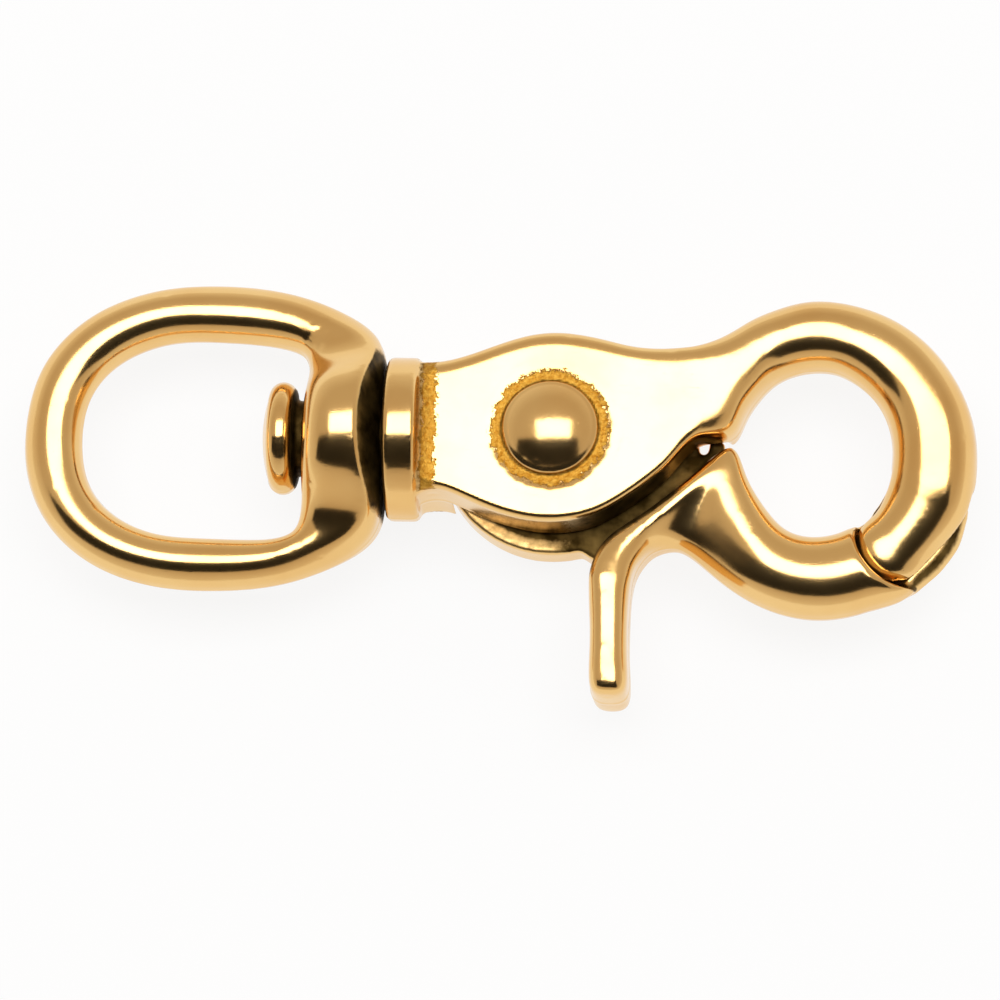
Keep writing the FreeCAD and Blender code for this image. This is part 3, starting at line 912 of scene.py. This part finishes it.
def cast_brass(name, gloss_patches, scratches, pits):
    """Brass that is polished, as-cast or darkened by painted shade, as the piece's own masks say.
    """
    mat = bpy.data.materials.new(name)
    mat.use_nodes = True
    tree = mat.node_tree
    shader = tree.nodes["Principled BSDF"]
    shader.inputs["Metallic"].default_value = 1
    polish = place_group(tree, POLISH, {
        "Gloss patches": gloss_patches, "Scratches": scratches, "Pits": pits,
    })
    depth = add(tree, "Attribute", attribute_name="as_cast").outputs["Fac"]
    rough = place_group(tree, AS_CAST, {"Depth": depth})
    # The painted shade of the gaps is read from each skin and darkens its colour.
    amount = add(tree, "Attribute", attribute_name="painted_shade").outputs["Fac"]
    painted_shade = place_group(tree, PAINTED_SHADE, {"Amount": amount})
    colour = mix_colour(tree, rough["Mask"], polish["Colour"], rough["Colour"])
    colour = mix_colour(tree, painted_shade["Mask"], colour, painted_shade["Colour"])
    tree.links.new(colour, shader.inputs["Base Color"])
    gloss = polish["Roughness"]
    for mask, rougher in ((rough["Mask"], AS_CAST_ROUGHER), (painted_shade["Mask"], SHADE_ROUGHER)):
        gloss = math_node(tree, "ADD", gloss, math_node(tree, "MULTIPLY", mask, rougher))
    tree.links.new(gloss, shader.inputs["Roughness"])
    height = math_node(tree, "ADD", polish["Height"], rough["Height"])
    bump = add(tree, "Bump", {"Strength": 1.0, "Distance": MM, "Height": height})
    tree.links.new(bump.outputs["Normal"], shader.inputs["Normal"])
    print(name, "has", len(tree.nodes), "nodes")
    return mat


CAST = cast_brass("tumbled cast brass", gloss_patches=0.03, scratches=1.0, pits=1.0)
PEENED = cast_brass("peened brass", gloss_patches=0.05, scratches=0.6, pits=1.6)

# %% [markdown]
# ## Spring wire
#
# The return spring is drawn steel wire, and hub and plate hide nearly all of it.
# Drawing leaves fine streaks, here noise that is stretched one way.

# %% spring wire material
BRIGHT_STEEL = (0.5, 0.5, 0.52, 1)
BROWN_STEEL = (0.3, 0.28, 0.25, 1)


def spring_wire():
    """Drawn steel: grey that drifts, fine streaks in roughness and height."""
    mat = bpy.data.materials.new("drawn spring wire")
    mat.use_nodes = True
    tree = mat.node_tree
    shader = tree.nodes["Principled BSDF"]
    shader.inputs["Metallic"].default_value = 1
    place = add(tree, "TexCoord").outputs["Object"]
    drift = noise(tree, place, 1.2, 3)
    steel = mix_colour(tree, drift, BRIGHT_STEEL, BROWN_STEEL)
    tree.links.new(steel, shader.inputs["Base Color"])
    flat = add(tree, "Mapping", {"Vector": place, "Scale": (1, 1, 6)})
    streaks = noise(tree, flat.outputs[0], 0.4, 3, 0.7)
    tree.links.new(spread_value(tree, streaks, 0.3, 0.7, 0.22, 0.42), shader.inputs["Roughness"])
    bump = add(tree, "Bump", {"Strength": 0.5, "Distance": 0.01 * MM, "Height": streaks})
    tree.links.new(bump.outputs["Normal"], shader.inputs["Normal"])
    return mat


# %% [markdown]
# ## The return spring
#
# The coil lies round the rivet. Its upper leg pushes on the hook and its lower
# leg on the trigger, so the upper leg stays still, the lower leg turns with the
# trigger, and each turn between them twists a little. A spring that rode on one
# body alone would push its other leg through the metal. Here a copy of the wire
# takes the spring's place with its own material; it rides on no body and does
# not bend.

spring = bpy.data.objects.new("return_spring", joined_copy("torsion_spring"))
scene.collection.objects.link(spring)
spring.data.materials.append(spring_wire())
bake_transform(spring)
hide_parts("torsion_spring")
print(spring.name, "bends between body and gate")

# %% [markdown]
# ## Which body carries which skin
#
# Each skin stands for one solid and moves with the same body, so the joints of
# the frame carry the dressed pieces without any keys or constraints.

# %% hand the skins to their bodies
SKINS = (
    (body, "hook_body", "body", CAST),
    (gate, "trigger_gate", "gate", CAST),
    (eye, "swivel_eye", "eye", CAST),
    (rivet, "pivot_rivet", "body", PEENED),
)
for piece, node_name, body_name, material in SKINS:
    piece.data.materials.clear()
    piece.data.materials.append(material)
    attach(piece, body_name)
    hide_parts(node_name)
    print(piece.name, "rides on", body_name)

# %% [markdown]
# ## Camera
#
# Small goods are shown from far off through a long lens, which keeps parallel
# edges parallel. The camera looks at the face from a little below, turned and
# rolled by a few degrees, as when it is held by hand.

# %% camera
TARGET = Vector((0.18, 3.27, 8.8)) * MM
PITCH, YAW, ROLL = (math.radians(angle) for angle in (15.1, 4.4, 1.71))
DISTANCE = 0.6
SENSOR = 36
FILL = 10.544
LENS_SHIFT = -0.0391
NEAREST = 0.01

to_camera = Vector((
    math.sin(YAW),
    -math.sin(PITCH) * math.cos(YAW),
    math.cos(PITCH) * math.cos(YAW),
))
level = Vector((0, 1, 0)).cross(to_camera).normalized()
upward = to_camera.cross(level)
across = level * math.cos(ROLL) + upward * math.sin(ROLL)
over = upward * math.cos(ROLL) - level * math.sin(ROLL)


def set_upright(obj, x_axis, y_axis, z_axis, place):
    """Turns an object so that its own axes lie along these directions."""
    matrix = Matrix((x_axis, y_axis, z_axis)).transposed().to_4x4()
    matrix.translation = place
    obj.matrix_world = matrix


camera = bpy.data.objects.new("camera", bpy.data.cameras.new("camera"))
scene.collection.objects.link(camera)
set_upright(camera, across, over, to_camera, TARGET + to_camera * DISTANCE)
camera.data.sensor_width = SENSOR
camera.data.lens = SENSOR * FILL * DISTANCE
camera.data.clip_start = NEAREST
camera.data.shift_y = LENS_SHIFT
scene.camera = camera
print("lens", round(camera.data.lens, 1), "mm")

# %% [markdown]
# ## Light
#
# Polished metal shows its surroundings and little else, so lighting it means
# choosing what it mirrors. One long softbox above the camera gives the bright
# stripe along every bar and fills the flat face. A black card just below it
# gives the dark stripe beside the bright one, and that contrast is what reads as
# metal. The card reaches further to the left than to the right, so that the dark
# patch on the rivet's dome stays narrow. The rest of the room is plain and pale.

# %% softbox
SOFTBOX_SPAN = (7, 38)
SOFTBOX_HALF = 27
SOFTBOX_DISTANCE = 1.5
SOFTBOX_LEVEL = 3.75


def above_camera(degrees):
    """Direction so many degrees above the line from the part to the camera."""
    angle = math.radians(degrees)
    return to_camera * math.cos(angle) + over * math.sin(angle)


def panel_size(span, half_width, distance):
    """Width and height that fill these angles, as seen from the part."""
    width = 2 * distance * math.tan(math.radians(half_width))
    height = 2 * distance * math.tan(math.radians((span[1] - span[0]) / 2))
    return width, height


def aim_panel(obj, span, distance):
    """Puts a panel in the middle of its span, its face toward the part."""
    z_axis = above_camera(sum(span) / 2)
    x_axis = (across - z_axis * across.dot(z_axis)).normalized()
    set_upright(obj, x_axis, z_axis.cross(x_axis), z_axis, TARGET + z_axis * distance)


softbox = bpy.data.objects.new("softbox", bpy.data.lights.new("softbox", "AREA"))
scene.collection.objects.link(softbox)
softbox.data.shape = "RECTANGLE"
width, height = panel_size(SOFTBOX_SPAN, SOFTBOX_HALF, SOFTBOX_DISTANCE)
softbox.data.size = width
softbox.data.size_y = height
softbox.data.energy = SOFTBOX_LEVEL * math.pi * softbox.data.size * softbox.data.size_y
aim_panel(softbox, SOFTBOX_SPAN, SOFTBOX_DISTANCE)
print("softbox", round(width, 2), "by", round(height, 2), "m")

# %% black card
CARD_SPAN = (-42, 7)
CARD_LEFT = 62
CARD_RIGHT = 40
CARD_DISTANCE = 1.4
CARD_BLACK = (0.03, 0.03, 0.03, 1)


def flat_panel(name, left, right, half_height):
    """One rectangle that reaches this far from the origin on each side, as a stage piece."""
    low, high = -half_height, half_height
    corners = [(left, low, 0), (right, low, 0), (right, high, 0), (left, high, 0)]
    mesh = bpy.data.meshes.new(name)
    mesh.from_pydata(corners, [], [(0, 1, 2, 3)])
    panel = bpy.data.objects.new(name, mesh)
    scene.collection.objects.link(panel)
    return panel


def matt(name, colour):
    """Plain dull material for stage pieces, with its node tree and its shader."""
    mat = bpy.data.materials.new(name)
    mat.use_nodes = True
    shader = mat.node_tree.nodes["Principled BSDF"]
    shader.inputs["Base Color"].default_value = colour
    shader.inputs["Roughness"].default_value = 1
    shader.inputs["Specular IOR Level"].default_value = 0
    return mat, mat.node_tree, shader


reach_left, _ = panel_size(CARD_SPAN, CARD_LEFT, CARD_DISTANCE)
reach_right, card_height = panel_size(CARD_SPAN, CARD_RIGHT, CARD_DISTANCE)
card = flat_panel("black_card", -reach_left / 2, reach_right / 2, card_height / 2)
card.data.materials.append(matt("black card", CARD_BLACK)[0])
aim_panel(card, CARD_SPAN, CARD_DISTANCE)
print("black card", round((reach_left + reach_right) / 2, 2), "by", round(card_height, 2), "m")

# %% [markdown]
# ## White floor
#
# The floor is nearly white, and the eye should see it as white paper with a
# breath of shadow. More light would burn out the brass, so the floor glows for
# the camera, mirror and glass rays alone, and a share of its own shading keeps
# the shadow of the hook.

# %% floor
FLOOR_SIZE = 12
FLOOR_SHADING = 0.12
PAPER = (0.93, 0.95, 0.98, 1)


def floor_material():
    """Dull white that mixes in white light for camera, mirror and glass rays."""
    mat, tree, shader = matt("white paper", PAPER)
    rays = add(tree, "LightPath").outputs
    seen = math_node(tree, "MAXIMUM", rays["Is Camera Ray"], rays["Is Glossy Ray"])
    seen = math_node(tree, "MAXIMUM", seen, rays["Is Transmission Ray"])
    share = math_node(tree, "MULTIPLY", seen, 1 - FLOOR_SHADING)
    glow = add(tree, "Emission", {"Color": (1, 1, 1, 1), "Strength": 1.0})
    mixed = add(tree, "MixShader", {0: share, 1: shader.outputs[0], 2: glow.outputs[0]})
    tree.links.new(mixed.outputs[0], tree.nodes["Material Output"].inputs["Surface"])
    return mat


floor = flat_panel("floor", -FLOOR_SIZE / 2, FLOOR_SIZE / 2, FLOOR_SIZE / 2)
floor.data.materials.append(floor_material())
print("floor", FLOOR_SIZE, "m wide keeps", FLOOR_SHADING, "of its shading")

# %% [markdown]
# ## The room
#
# What the sides of the bars mirror is neither lamp nor card but the room, and it
# gives them their tan. One flat colour would look like plastic, so the room goes
# from pale near the horizon to brown overhead.

# %% the room
HORIZON = (0.8, 0.75, 0.68, 1)
CEILING = (0.58, 0.5, 0.41, 1)

world = bpy.data.worlds.new("pale room")
scene.world = world
world.use_nodes = True
sky = world.node_tree
height = add(sky, "SeparateXYZ", {0: add(sky, "TexCoord").outputs["Generated"]}).outputs["Z"]
rise = spread_value(sky, height, 0.0, 0.5, 0, 1)
sky.links.new(mix_colour(sky, rise, HORIZON, CEILING), sky.nodes["Background"].inputs["Color"])
scene.view_settings.view_transform = "Standard"
print("room from", HORIZON[:3], "to", CEILING[:3])
